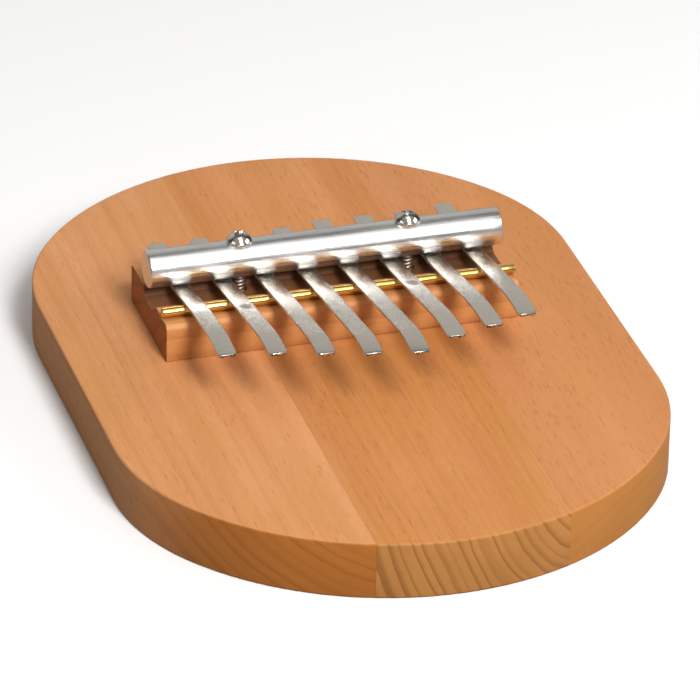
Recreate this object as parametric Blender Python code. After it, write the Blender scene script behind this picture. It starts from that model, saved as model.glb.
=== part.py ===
"""An eight-tine mbira (thumb piano).

A flat board of three glued beech staves carries a beech bridge block. Eight spring-steel tines lie on the
block's rear land, pass under a round aluminium clamp bar and over a thin brass rod, and reach out over the
board towards the player. Two screws pull the bar down through the block into the board.

The origin is on the table, under the middle of the board. +X is the player's right, +Y points away from
the player, towards the tines' tails, and +Z is up. All lengths are in metres, written as millimetres * MM.
"""

import math

import bmesh
import bpy
from mathutils import Matrix, Vector

MM = 0.001

# The board: straight sides, rounded corners and a flatter arc across each end.
BOARD_WIDTH = 140 * MM
BOARD_LENGTH = 200 * MM
BOARD_THICKNESS = 15 * MM
BOARD_END_RADIUS = 73 * MM
BOARD_CORNER_RADIUS = 57.3 * MM
BOARD_EDGE_BREAK = 0.5 * MM
GLUE_JOINTS = (-21.4 * MM, 28.0 * MM)
ARC_STEPS = 20

# The bridge block. Its section is given from the front edge back, as (y, height above the board).
BLOCK_LENGTH = 92 * MM
BLOCK_OFFSET = -0.5 * MM
BLOCK_FRONT = 0.6 * MM
BLOCK_REAR = 34.2 * MM
BLOCK_HEIGHT = 10.1 * MM
BLOCK_CHAMFER = 1.0 * MM
HOLLOW_FRONT = 10.8 * MM
HOLLOW_FRONT_FOOT = 14.4 * MM
HOLLOW_REAR_FOOT = 21.2 * MM
HOLLOW_REAR_BEND = 22.6 * MM
HOLLOW_REAR = 25.4 * MM
HOLLOW_FLOOR = 7.6 * MM
HOLLOW_FLOOR_RISE = 0.3 * MM
HOLLOW_BEND_RISE = 1.3 * MM

# The brass rod lies in a wide, shallow V groove in the block's top.
ROD_Y = 6.2 * MM
ROD_RADIUS = 1.25 * MM
ROD_LENGTH = 92 * MM
ROD_CHAMFER = 0.15 * MM
ROD_OFFSET = -0.2 * MM
GROOVE_HALF_WIDTH = 3.0 * MM
GROOVE_DEPTH = 0.6 * MM

# The clamp bar.
BAR_Y = 19.6 * MM
BAR_RADIUS = 4.8 * MM
BAR_HEIGHT = 16.3 * MM
BAR_LENGTH = 92.2 * MM
BAR_CHAMFER = 0.4 * MM

# The two clamp screws.
SCREW_SPACING = 44 * MM
SCREW_RADIUS = 1.75 * MM
SCREW_HOLE_RADIUS = 2.1 * MM
SCREW_LENGTH = 30 * MM
SCREW_POINT = 3.5 * MM
POINT_RADIUS = 0.2 * MM
HEAD_RADIUS = 3.3 * MM
HEAD_EASE = 0.2 * MM
HEAD_RIM = 0.9 * MM
HEAD_HEIGHT = 2.3 * MM
DOME_FULLNESS = 0.7
CROWN_ANGLE = math.radians(75)
DOME_STEPS = 5
RECESS_REACH = 1.75 * MM
RECESS_WIDTH = 0.8 * MM
RECESS_DEPTH = 1.4 * MM
RECESS_FOOT_REACH = 0.45
RECESS_FOOT_WIDTH = 0.8
RECESS_TURNS = {"left": 25, "right": 70}

# The tines. TINE_SHAPES has one row for each, from left to right: how far it reaches in front of the rod,
# how steeply it rises there, how far its tip curls back down and over what length, and where its tail ends.
TINE_WIDTH = 4.8 * MM
TINE_THICKNESS = 0.8 * MM
TINE_PITCH = 10.95 * MM
TINE_OFFSET = 0.3 * MM
REAR_REST_Y = 26.5 * MM
RISE_LENGTH = 8 * MM
END_CORNER = 0.9 * MM
TINE_SHAPES = (
    (31.7 * MM, 6.0, 15.0, 14.0 * MM, 42.0 * MM),
    (38.5 * MM, 9.0, 17.0, 12.5 * MM, 41.8 * MM),
    (42.9 * MM, 9.2, 20.0, 11.0 * MM, 42.2 * MM),
    (46.5 * MM, 9.0, 22.0, 10.0 * MM, 42.1 * MM),
    (50.0 * MM, 10.0, 24.0, 12.0 * MM, 43.8 * MM),
    (44.5 * MM, 10.5, 13.5, 16.0 * MM, 43.3 * MM),
    (40.2 * MM, 11.0, 12.5, 20.0 * MM, 43.0 * MM),
    (33.0 * MM, 9.0, 16.0, 14.5 * MM, 44.4 * MM),
)
FINE_STEPS = 12
ROOT_STEPS = 18
TONGUE_STEPS = 16
END_STEPS = 3

# Room left between pieces that touch on the real object, and between a tine's two halves.
SEAT_GAP = 0.2 * MM
GLUE_GAP = 0.3 * MM
FLEX_GAP = 0.3 * MM

# The rod's centre, above the board: it rests on both walls of its groove.
GROOVE_ANGLE = math.atan2(GROOVE_DEPTH, GROOVE_HALF_WIDTH)
ROD_HEIGHT = BLOCK_HEIGHT - GROOVE_DEPTH + (ROD_RADIUS + SEAT_GAP) / math.cos(GROOVE_ANGLE)

ROUND_STEPS = 40
ROD_STEPS = 20
SCREW_STEPS = 32
HOLE_STEPS = 24
SMOOTH_ANGLE = math.radians(35)


def clear_scene():
    for obj in list(bpy.data.objects):
        bpy.data.objects.remove(obj, do_unlink=True)


def material(name, colour, roughness, metallic=0.0):
    made = bpy.data.materials.new(name)
    made.use_nodes = True
    shader = made.node_tree.nodes["Principled BSDF"]
    shader.inputs["Base Color"].default_value = (*colour, 1.0)
    shader.inputs["Roughness"].default_value = roughness
    shader.inputs["Metallic"].default_value = metallic
    made.diffuse_color = (*colour, 1.0)
    return made


def object_from(shape, name, finish, location=(0, 0, 0)):
    """Turns a bmesh into a named object with its faces pointing out."""
    bmesh.ops.recalc_face_normals(shape, faces=shape.faces)
    mesh = bpy.data.meshes.new(name)
    shape.to_mesh(mesh)
    shape.free()
    mesh.shade_smooth()
    mesh.set_sharp_from_angle(angle=SMOOTH_ANGLE)
    if finish:
        mesh.materials.append(finish)
    obj = bpy.data.objects.new(name, mesh)
    obj.location = location
    bpy.context.collection.objects.link(obj)
    return obj


def loft(rings):
    """A closed bmesh skin through rings of points that all have the same count."""
    shape = bmesh.new()
    rows = [[shape.verts.new(point) for point in ring] for ring in rings]
    count = len(rows[0])
    for first, second in zip(rows, rows[1:]):
        for i in range(count):
            j = (i + 1) % count
            shape.faces.new((first[i], first[j], second[j], second[i]))
    shape.faces.new(rows[0])
    shape.faces.new(rows[-1])
    return shape


def circle(radius, height, steps=ROUND_STEPS):
    angles = (2 * math.pi * i / steps for i in range(steps))
    return [Vector((radius * math.cos(a), radius * math.sin(a), height)) for a in angles]


def turned(profile, steps=ROUND_STEPS):
    """A solid of revolution about Z through (radius, height) pairs."""
    return loft([circle(radius, height, steps) for radius, height in profile])


def cut(obj, cutter, name):
    cutter.hide_render = True
    cutter.display_type = "WIRE"
    boolean = obj.modifiers.new(name, "BOOLEAN")
    boolean.operation = "DIFFERENCE"
    boolean.solver = "EXACT"
    boolean.object = cutter


# ---------------------------------------------------------------- the board


def quarter_outline(inset):
    """One quarter of the board's outline, from the right side round to the middle of the far end."""
    end_y = BOARD_LENGTH / 2 - BOARD_END_RADIUS
    corner_x = BOARD_WIDTH / 2 - BOARD_CORNER_RADIUS
    between = BOARD_END_RADIUS - BOARD_CORNER_RADIUS
    corner_y = end_y + math.sqrt(between**2 - corner_x**2)
    join = math.atan2(corner_y - end_y, corner_x)
    points = []
    for i in range(ARC_STEPS):
        a = join * i / ARC_STEPS
        radius = BOARD_CORNER_RADIUS - inset
        points.append((corner_x + radius * math.cos(a), corner_y + radius * math.sin(a)))
    for i in range(ARC_STEPS + 1):
        a = join + (math.pi / 2 - join) * i / ARC_STEPS
        radius = BOARD_END_RADIUS - inset
        points.append((radius * math.cos(a), end_y + radius * math.sin(a)))
    return points


def board_outline(inset, height):
    right_far = quarter_outline(inset)
    left_far = [(-x, y) for x, y in reversed(right_far[:-1])]
    far = right_far + left_far
    near = [(-x, -y) for x, y in far]
    return [Vector((x, y, height)) for x, y in far + near]


def board_stave(name, low_x, high_x, finish):
    """The part of the board between two glue joints, or between a glue joint and the board's side."""
    eased = BOARD_EDGE_BREAK
    rings = [
        board_outline(eased, 0),
        board_outline(0, eased),
        board_outline(0, BOARD_THICKNESS - eased),
        board_outline(eased, BOARD_THICKNESS),
    ]
    shape = loft(rings)
    for x, side in ((low_x, -1), (high_x, 1)):
        if abs(x) >= BOARD_WIDTH / 2:
            continue
        plane_x = x - side * GLUE_GAP / 2
        everything = shape.verts[:] + shape.edges[:] + shape.faces[:]
        result = bmesh.ops.bisect_plane(
            shape, geom=everything, plane_co=(plane_x, 0, 0), plane_no=(side, 0, 0), clear_outer=True
        )
        rim = [item for item in result["geom_cut"] if isinstance(item, bmesh.types.BMEdge)]
        bmesh.ops.contextual_create(shape, geom=rim)
    return object_from(shape, f"board_stave_{name}", finish)


# ---------------------------------------------------------------- the bridge


def block_section():
    """(y, height above the board) round the block's section, from its front foot up and back."""
    return (
        (BLOCK_FRONT, SEAT_GAP),
        (BLOCK_FRONT, BLOCK_HEIGHT - BLOCK_CHAMFER),
        (BLOCK_FRONT + BLOCK_CHAMFER, BLOCK_HEIGHT),
        (ROD_Y - GROOVE_HALF_WIDTH, BLOCK_HEIGHT),
        (ROD_Y, BLOCK_HEIGHT - GROOVE_DEPTH),
        (ROD_Y + GROOVE_HALF_WIDTH, BLOCK_HEIGHT),
        (HOLLOW_FRONT, BLOCK_HEIGHT),
        (HOLLOW_FRONT_FOOT, HOLLOW_FLOOR + HOLLOW_FLOOR_RISE),
        (HOLLOW_REAR_FOOT, HOLLOW_FLOOR),
        (HOLLOW_REAR_BEND, HOLLOW_FLOOR + HOLLOW_BEND_RISE),
        (HOLLOW_REAR, BLOCK_HEIGHT),
        (BLOCK_REAR, BLOCK_HEIGHT),
        (BLOCK_REAR, SEAT_GAP),
    )


def bridge_block(finish):
    ends = (BLOCK_OFFSET - BLOCK_LENGTH / 2, BLOCK_OFFSET + BLOCK_LENGTH / 2)
    section = block_section()
    rings = [[Vector((x, y, BOARD_THICKNESS + z)) for y, z in section] for x in ends]
    return object_from(loft(rings), "bridge_block", finish)


def round_rod(name, radius, length, chamfer, centre, finish, steps=ROUND_STEPS):
    """A round bar along X, chamfered at both ends."""
    half = length / 2
    shape = turned(
        (
            (radius - chamfer, -half),
            (radius, -half + chamfer),
            (radius, half - chamfer),
            (radius - chamfer, half),
        ),
        steps,
    )
    bmesh.ops.transform(shape, matrix=Matrix.Rotation(math.pi / 2, 4, "Y"), verts=shape.verts)
    return object_from(shape, name, finish, centre)


def screw_places():
    for side, name in ((-1, "left"), (1, "right")):
        yield name, BLOCK_OFFSET + side * SCREW_SPACING / 2


def screw_hole_cutter(name, x):
    """A straight hole for a screw's shank, from above the bar to below its point."""
    past = 1 * MM
    profile = ((SCREW_HOLE_RADIUS, -SCREW_LENGTH - past), (SCREW_HOLE_RADIUS, past))
    return object_from(turned(profile, HOLE_STEPS), f"hole_cutter_{name}", None, (x, BAR_Y, head_seat()))


def head_seat():
    """The height of the underside of the screw heads."""
    return BOARD_THICKNESS + BAR_HEIGHT + BAR_RADIUS + SEAT_GAP


def cross_ring(reach, width, height):
    """The twelve corners of a cross, at one height."""
    corners = ((reach, width), (width, width), (width, reach))
    ring = []
    for quarter in range(4):
        turn = Matrix.Rotation(quarter * math.pi / 2, 2)
        ring += [Vector((*(turn @ Vector(corner)), height)) for corner in corners]
    return ring


def recess_cutter(name, x):
    """The tapered cross that a screwdriver fits."""
    half = RECESS_WIDTH / 2
    foot_reach = RECESS_REACH * RECESS_FOOT_REACH
    foot_half = half * RECESS_FOOT_WIDTH
    above = 1 * MM
    shape = loft(
        [
            cross_ring(foot_reach, foot_half, HEAD_HEIGHT - RECESS_DEPTH),
            cross_ring(RECESS_REACH, half, HEAD_HEIGHT),
            cross_ring(RECESS_REACH, half, HEAD_HEIGHT + above),
        ]
    )
    cutter = object_from(shape, f"recess_cutter_{name}", None, (x, BAR_Y, head_seat()))
    cutter.rotation_euler.z = math.radians(RECESS_TURNS[name])
    return cutter


def clamp_screw(name, x, finish):
    """A pan-head screw whose origin is under its head, on its own axis."""
    profile = [
        (POINT_RADIUS, -SCREW_LENGTH),
        (SCREW_RADIUS, -SCREW_LENGTH + SCREW_POINT),
        (SCREW_RADIUS, 0),
        (HEAD_RADIUS - HEAD_EASE, 0),
        (HEAD_RADIUS, HEAD_EASE),
        (HEAD_RADIUS, HEAD_RIM),
    ]
    dome = HEAD_HEIGHT - HEAD_RIM
    for i in range(1, DOME_STEPS + 1):
        a = CROWN_ANGLE * i / DOME_STEPS
        height = HEAD_RIM + dome * math.sin(a) / math.sin(CROWN_ANGLE)
        profile.append((HEAD_RADIUS * math.cos(a) ** DOME_FULLNESS, height))
    shape = turned(profile, SCREW_STEPS)
    screw = object_from(shape, f"clamp_screw_{name}", finish, (x, BAR_Y, head_seat()))
    cut(screw, recess_cutter(name, x), "cross_recess")
    return screw


# ---------------------------------------------------------------- the tines


def clamp_curve():
    """How the clamped strip bends between its three rests: (slope at the rod, curvature under the bar).

    The strip lies on the rod and on the block's rear land and is pressed down between them by the bar. Its
    curvature grows evenly from nothing at each rest to its greatest under the bar, as in a loaded beam, so
    its height drops by slope * d - bend * d**3 / (6 * front) up to the bar. Two drops give two unknowns.
    """
    front = BAR_Y - ROD_Y
    rear = REAR_REST_Y - BAR_Y
    half = TINE_THICKNESS / 2 + SEAT_GAP
    over_rod = ROD_HEIGHT + ROD_RADIUS + half
    under_bar = BAR_HEIGHT - BAR_RADIUS - half
    on_land = BLOCK_HEIGHT + half
    front_drop = over_rod - under_bar
    rear_drop = under_bar - on_land
    front_share = front**2 / 6
    rear_share = front * rear / 2 + rear**2 / 3
    bend = (front_drop * rear - rear_drop * front) / (rear_share * front - front_share * rear)
    slope = (front_drop + bend * front_share) / front
    return slope, bend, over_rod


ROD_SLOPE, CLAMP_BEND, STRIP_AT_ROD = clamp_curve()


def root_slope(distance):
    """The strip's slope at a distance behind the rod."""
    front = BAR_Y - ROD_Y
    rear = REAR_REST_Y - BAR_Y
    if distance <= front:
        return ROD_SLOPE - CLAMP_BEND * distance**2 / (2 * front)
    past = min(distance - front, rear)
    return ROD_SLOPE - CLAMP_BEND * (front / 2 + past - past**2 / (2 * rear))


def tongue_slope(distance, reach, rise, curl, curl_length):
    """The strip's slope at a distance in front of the rod."""
    settled = min(1.0, distance / RISE_LENGTH)
    curled = max(0.0, distance - (reach - curl_length)) / curl_length
    return ROD_SLOPE + (math.radians(rise) - ROD_SLOPE) * settled - math.radians(curl) * curled


def strip_line(slope_at, stations, direction):
    """Points (y, z, slope) along the strip, at distances measured from where it crosses the rod.

    direction is +1 towards the tail and -1 towards the tip. The strip rises towards its tip.
    """
    y = z = travelled = 0.0
    points = []
    for station in stations:
        step = (station - travelled) / FINE_STEPS
        for _ in range(FINE_STEPS):
            slope = slope_at(travelled + step / 2)
            y += direction * step * math.cos(slope)
            z -= direction * step * math.sin(slope)
            travelled += step
        points.append((y, z, slope_at(station)))
    return points


def half_width(to_end):
    """Half the strip's width at a distance from its end, whose corners are rounded."""
    if to_end >= END_CORNER:
        return TINE_WIDTH / 2
    return TINE_WIDTH / 2 - END_CORNER + math.sqrt(END_CORNER**2 - (END_CORNER - to_end) ** 2)


def strip_mesh(line, half_widths):
    """A flat strip along a line, as a bmesh."""
    half = TINE_THICKNESS / 2
    rings = []
    for (y, z, slope), width in zip(line, half_widths):
        up = Vector((0, math.sin(slope) * half, math.cos(slope) * half))
        middle = Vector((0, y, z))
        side = Vector((width, 0, 0))
        rings.append([middle - side - up, middle + side - up, middle + side + up, middle - side + up])
    return loft(rings)


def even_stations(start, end, steps):
    return [start + (end - start) * i / steps for i in range(steps + 1)]


def rounded_stations(length, count):
    """Distances from the rod to a strip's end, closer together where its corners are rounded."""
    stations = even_stations(FLEX_GAP / 2, length - END_CORNER, count)
    for i in range(1, END_STEPS + 1):
        stations.append(length - END_CORNER * (1 - math.sin(math.pi / 2 * i / END_STEPS)))
    return stations


def tine(number, finish):
    """One tine: its clamped root and its free tongue, both with their origin over the rod."""
    reach, rise, curl, curl_length, tail_y = TINE_SHAPES[number - 1]
    x = TINE_OFFSET + TINE_PITCH * (number - (len(TINE_SHAPES) + 1) / 2)
    over_rod = (x, ROD_Y, BOARD_THICKNESS + STRIP_AT_ROD)

    root_length = tail_y - ROD_Y
    root_stations = rounded_stations(root_length, ROOT_STEPS)
    root_line = strip_line(root_slope, root_stations, 1)
    root_widths = [half_width(root_length - station) for station in root_stations]
    object_from(strip_mesh(root_line, root_widths), f"tine_{number}_root", finish, over_rod)

    def free_slope(distance):
        return tongue_slope(distance, reach, rise, curl, curl_length)

    tongue_stations = rounded_stations(reach, TONGUE_STEPS)
    tongue_line = strip_line(free_slope, tongue_stations, -1)
    tongue_widths = [half_width(reach - station) for station in tongue_stations]
    object_from(strip_mesh(tongue_line, tongue_widths), f"tine_{number}_tongue", finish, over_rod)


# ---------------------------------------------------------------- assembly


def staves_under(staves, x):
    """The staves that a screw hole at this x runs into, of (stave, low x, high x) rows."""
    reach = SCREW_HOLE_RADIUS
    return [stave for stave, low_x, high_x in staves if low_x < x + reach and x - reach < high_x]


def build():
    clear_scene()
    beech = material("oiled_beech", (0.62, 0.32, 0.14), 0.5)
    block_beech = material("block_beech", (0.55, 0.27, 0.12), 0.55)
    aluminium = material("polished_aluminium", (0.86, 0.87, 0.88), 0.18, 1.0)
    brass = material("brass", (0.86, 0.62, 0.18), 0.2, 1.0)
    plated = material("nickel_plate", (0.72, 0.70, 0.67), 0.2, 1.0)
    spring_steel = material("spring_steel", (0.58, 0.56, 0.52), 0.35, 1.0)

    sides = (-BOARD_WIDTH / 2, *GLUE_JOINTS, BOARD_WIDTH / 2)
    staves = []
    for name, low_x, high_x in zip(("left", "middle", "right"), sides, sides[1:]):
        staves.append((board_stave(name, low_x, high_x, beech), low_x, high_x))

    block = bridge_block(block_beech)
    rod_centre = (ROD_OFFSET, ROD_Y, BOARD_THICKNESS + ROD_HEIGHT)
    round_rod("bridge_rod", ROD_RADIUS, ROD_LENGTH, ROD_CHAMFER, rod_centre, brass, ROD_STEPS)
    bar_centre = (BLOCK_OFFSET, BAR_Y, BOARD_THICKNESS + BAR_HEIGHT)
    bar = round_rod("clamp_bar", BAR_RADIUS, BAR_LENGTH, BAR_CHAMFER, bar_centre, aluminium)

    for name, x in screw_places():
        clamp_screw(name, x, plated)
        hole = screw_hole_cutter(name, x)
        for drilled in (*staves_under(staves, x), block, bar):
            cut(drilled, hole, f"{name}_screw_hole")

    for number in range(1, len(TINE_SHAPES) + 1):
        tine(number, spring_steel)


build()
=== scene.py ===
# %% [markdown]
# # A tabletop mbira: the looks
#
# A mbira is a thumb piano. Eight steel strips, the tines, lie across a low wooden bridge. A metal bar
# screwed down behind them bends each strip over a thin brass rod, so that its front end stands free and
# sounds when a thumb plucks it. Everything sits on a flat beech board that works as the soundboard.
#
# The mechanical model already says where each part is and how it moves. This script dresses it. It loads
# that model as a fixed frame, measures it, and builds a finer piece over each part: softened wooden edges,
# a drilled bar, real screw threads and a strip with rolled edges. Then it gives each piece a material.

# %% Load the frame
import math

import bmesh
import bpy
from mathutils import Matrix, Vector


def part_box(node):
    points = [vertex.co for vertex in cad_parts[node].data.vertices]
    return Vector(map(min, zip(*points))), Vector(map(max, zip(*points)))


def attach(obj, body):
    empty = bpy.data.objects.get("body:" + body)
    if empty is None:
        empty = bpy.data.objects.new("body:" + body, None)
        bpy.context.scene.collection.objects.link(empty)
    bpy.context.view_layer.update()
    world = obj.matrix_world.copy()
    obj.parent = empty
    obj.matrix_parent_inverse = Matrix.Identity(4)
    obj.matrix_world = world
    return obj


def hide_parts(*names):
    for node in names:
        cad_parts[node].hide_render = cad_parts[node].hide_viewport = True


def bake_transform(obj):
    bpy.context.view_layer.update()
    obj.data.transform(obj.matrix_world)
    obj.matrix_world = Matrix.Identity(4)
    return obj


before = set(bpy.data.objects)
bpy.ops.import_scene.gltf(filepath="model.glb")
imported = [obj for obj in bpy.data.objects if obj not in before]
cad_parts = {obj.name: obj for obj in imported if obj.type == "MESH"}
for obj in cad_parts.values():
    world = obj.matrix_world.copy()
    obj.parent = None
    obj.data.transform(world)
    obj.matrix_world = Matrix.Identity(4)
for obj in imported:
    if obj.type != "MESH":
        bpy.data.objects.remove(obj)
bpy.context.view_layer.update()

MM = 0.001

# %% [markdown]
# ## Places taken from the frame
#
# No place is typed in twice. The board, the block, the rod, the bar and the screws are read from the boxes
# of their parts, so the looks follow if the mechanical model ever changes. A tine is a bent strip, and its
# box doesn't say how it bends, so its middle line is read from its corners a little further down.

# %% Measure the main parts
STAVES = ("board_stave_left", "board_stave_middle", "board_stave_right")
board_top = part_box("board_stave_middle")[1].z
block_low, block_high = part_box("bridge_block")
rod_low, rod_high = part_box("bridge_rod")
bar_low, bar_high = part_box("clamp_bar")
rod_middle = (rod_low + rod_high) / 2
bar_middle = (bar_low + bar_high) / 2
TINE_COUNT = sum(name.endswith("_tongue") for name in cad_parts)
bar_thickness = (bar_high.y - bar_low.y) / MM
print(f"board top at {board_top / MM:.1f} mm, bar {bar_thickness:.1f} mm thick, {TINE_COUNT} tines")

# %% [markdown]
# ## The camera
#
# A long lens from far away keeps the tines nearly parallel, as a product picture does. The camera looks
# down by about thirty degrees and stands a little to the left. Its three axes are worked out from those
# angles: one points back from the object, one to the right and one up, and a small roll turns the last two.

# %% Make the camera
AIM = Vector((-0.49, -4.93, 15.0)) * MM
CAMERA_TURN = math.radians(-17.34)
CAMERA_LIFT = math.radians(29.271)
CAMERA_ROLL = math.radians(1.302)
CAMERA_DISTANCE = 1.59593
LENS = 328.92


def make_camera():
    back = Vector(
        (
            math.sin(CAMERA_TURN) * math.cos(CAMERA_LIFT),
            -math.cos(CAMERA_TURN) * math.cos(CAMERA_LIFT),
            math.sin(CAMERA_LIFT),
        )
    )
    right = Vector((0, 0, 1)).cross(back).normalized()
    up = back.cross(right)
    rolled_right = math.cos(CAMERA_ROLL) * right + math.sin(CAMERA_ROLL) * up
    rolled_up = math.cos(CAMERA_ROLL) * up - math.sin(CAMERA_ROLL) * right
    data = bpy.data.cameras.new("bench_camera")
    data.lens = LENS
    data.clip_end = 20
    camera = bpy.data.objects.new("bench_camera", data)
    axes = Matrix((rolled_right, rolled_up, back)).transposed()
    camera.matrix_world = Matrix.Translation(AIM + back * CAMERA_DISTANCE) @ axes.to_4x4()
    bpy.context.scene.collection.objects.link(camera)
    bpy.context.scene.camera = camera
    return camera


camera = make_camera()
print("camera", [round(value, 3) for value in camera.matrix_world.translation])

# %% [markdown]
# ## Small tools for shader nodes
#
# A material in Blender is a graph of nodes, and short helpers keep the graphs below readable. The main one
# adds a node and fills its inputs, where each one may be a number or another node's output. The others
# do sums with one value or three, mix two colours, move a value from one range to another, and make
# soft noise that can be drawn out along one axis, which is what all grain is made of here.

# %% Node helpers


def srgb(red, green, blue):
    """A colour from 0 to 255 values, as the linear numbers that a shader works with."""
    channels = []
    for value in (red, green, blue):
        value /= 255
        channels.append(value / 12.92 if value <= 0.04045 else ((value + 0.055) / 1.055) ** 2.4)
    return (*channels, 1.0)


def feed(tree, value, socket):
    """Gives a socket its value: a link if the value is another node's output, else a number or colour."""
    if isinstance(value, bpy.types.NodeSocket):
        tree.links.new(value, socket)
    else:
        socket.default_value = value


def add(tree, kind, settings=None, **inputs):
    """A new node. settings are its own properties; the rest name its inputs, with _ for a space."""
    node = tree.nodes.new("ShaderNode" + kind)
    for name, value in (settings or {}).items():
        setattr(node, name, value)
    for name, value in inputs.items():
        feed(tree, value, node.inputs[name.replace("_", " ")])
    return node


def maths(tree, operation, first, second=0.0):
    node = add(tree, "Math", {"operation": operation})
    feed(tree, first, node.inputs[0])
    feed(tree, second, node.inputs[1])
    return node.outputs[0]


def times(tree, first, second):
    return maths(tree, "MULTIPLY", first, second)


def plus(tree, first, second):
    return maths(tree, "ADD", first, second)


def minus(tree, first, second):
    return maths(tree, "SUBTRACT", first, second)


def vector_maths(tree, operation, first, second):
    node = add(tree, "VectorMath", {"operation": operation})
    feed(tree, first, node.inputs[0])
    feed(tree, second, node.inputs[1])
    return node.outputs


def mixed(tree, amount, first, second):
    """Two colours mixed by an amount from 0 to 1."""
    node = add(tree, "Mix", {"data_type": "RGBA", "blend_type": "MIX"})
    feed(tree, amount, node.inputs[0])
    feed(tree, first, node.inputs[6])
    feed(tree, second, node.inputs[7])
    return node.outputs[2]


def ranged(tree, value, from_low, from_high, to_low=0.0, to_high=1.0):
    """A value moved smoothly from one range to another, and held at its ends."""
    node = add(tree, "MapRange", {"interpolation_type": "SMOOTHSTEP"})
    for socket, number in zip(node.inputs, (value, from_low, from_high, to_low, to_high)):
        feed(tree, number, socket)
    return node.outputs[0]


def stretched(tree, vector, scale):
    return vector_maths(tree, "MULTIPLY", vector, scale)[0]


def in_millimetres(tree, coordinates):
    """An object's own coordinates, which are in metres, as millimetres."""
    return stretched(tree, coordinates.outputs["Object"], (1 / MM, 1 / MM, 1 / MM))


def noise(tree, vector, scale, detail=2.0, roughness=0.5):
    """Soft noise from 0 to 1, at its own scale along each axis."""
    return add(
        tree,
        "TexNoise",
        Vector=stretched(tree, vector, scale),
        Scale=1.0,
        Detail=detail,
        Roughness=roughness,
    ).outputs["Fac"]


def new_material(name):
    """A new material, with its node tree and its shader."""
    material = bpy.data.materials.new(name)
    material.use_nodes = True
    return material, material.node_tree, material.node_tree.nodes["Principled BSDF"]


def raise_surface(tree, shader, height, strength, distance):
    """Makes the light fall as if the surface stood up by height, which is 1 at the full distance."""
    bump = add(tree, "Bump", Height=height, Strength=strength, Distance=distance)
    feed(tree, bump.outputs["Normal"], shader.inputs["Normal"])


print("node helpers ready")

# %% [markdown]
# ## The studio
#
# The object lies on a plain pale floor in a white room. Polished metal is nothing but the picture of its
# room, so the room is drawn with care: an environment that is lighter behind, darker low in front and at
# the sides, and dark in a strip that begins just behind the point overhead. One soft light stands high in
# front and gives the tines their shadows. Two wide panels, above it and below it, lengthen the white line
# on the bar, and a panel on each side fills the shade, the right one more than the left.

# %% Draw the room
# (place, grey): the place goes from 0 at the front horizon, over the top, to 1 at the rear horizon.
ROOM_BANDS = (
    (0.00, 0.04),
    (0.12, 0.12),
    (0.18, 0.35),
    (0.52, 0.35),
    (0.56, 0.12),
    (0.66, 0.16),
    (0.70, 0.48),
    (1.00, 0.56),
)
# How far sideways the room begins to darken and stops, and the share of the light that is left there.
SIDES_DARKEN = (0.50, 0.85)
LEFT_AT_SIDES = 0.15


def make_world():
    """An environment that changes from front to back over the top, and falls dark at its sides."""
    world = bpy.data.worlds.new("studio")
    world.use_nodes = True
    tree = world.node_tree
    tree.nodes.clear()
    direction = add(tree, "TexCoord").outputs["Generated"]
    axes = add(tree, "SeparateXYZ", Vector=direction)
    to_front = times(tree, axes.outputs["Y"], -1.0)
    over = maths(tree, "ARCTAN2", axes.outputs["Z"], to_front)
    share = maths(tree, "DIVIDE", over, math.pi)
    ramp = add(tree, "ValToRGB", Fac=share)
    bands = ramp.color_ramp
    while len(bands.elements) < len(ROOM_BANDS):
        bands.elements.new(0.5)
    for element, (place, grey) in zip(bands.elements, ROOM_BANDS):
        element.position = place
        element.color = (grey, grey, grey, 1)
    sides = ranged(tree, maths(tree, "ABSOLUTE", axes.outputs["X"]), *SIDES_DARKEN, 1.0, LEFT_AT_SIDES)
    light = times(tree, ramp.outputs["Color"], sides)
    background = add(tree, "Background", Color=srgb(252, 249, 243), Strength=light)
    output = tree.nodes.new("ShaderNodeOutputWorld")
    tree.links.new(background.outputs[0], output.inputs["Surface"])
    bpy.context.scene.world = world


def softbox(name, towards, distance, width, height, radiance):
    """A soft rectangular light that faces the object. Its width is level."""
    data = bpy.data.lights.new(name, "AREA")
    data.shape = "RECTANGLE"
    data.size = width
    data.size_y = height
    data.energy = radiance * math.pi * width * height
    lamp = bpy.data.objects.new(name, data)
    direction = Vector(towards).normalized()
    lamp.location = direction * distance
    lamp.rotation_euler = direction.to_track_quat("Z", "Y").to_euler()
    bpy.context.scene.collection.objects.link(lamp)


make_world()
softbox("key_light", (0.12, -1.0, 1.0), distance=1.5, width=0.34, height=0.62, radiance=30.0)
softbox("front_panel", (0.08, -1.0, 0.62), distance=1.6, width=1.00, height=0.42, radiance=0.5)
softbox("top_panel", (0.08, -0.28, 1.0), distance=1.5, width=0.75, height=0.95, radiance=1.2)
softbox("right_panel", (1.0, -0.30, 0.62), distance=1.6, width=1.0, height=0.7, radiance=3.0)
softbox("left_panel", (-1.0, -0.30, 0.62), distance=1.6, width=0.9, height=0.6, radiance=1.2)
bpy.context.scene.view_settings.view_transform = "Standard"

# %% [markdown]
# ## The floor
#
# A sheet of pale paper carries the object's soft shadow. A white sheet would also throw a lot of light back
# under the board and into the bar. So the paper is white only where the camera sees it, and greyer for the
# light that bounces off it. The Light Path node tells the two apart.

# %% Lay the floor
FLOOR_HALF = 3.0
FLOOR_DROP = 0.05 * MM


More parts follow.
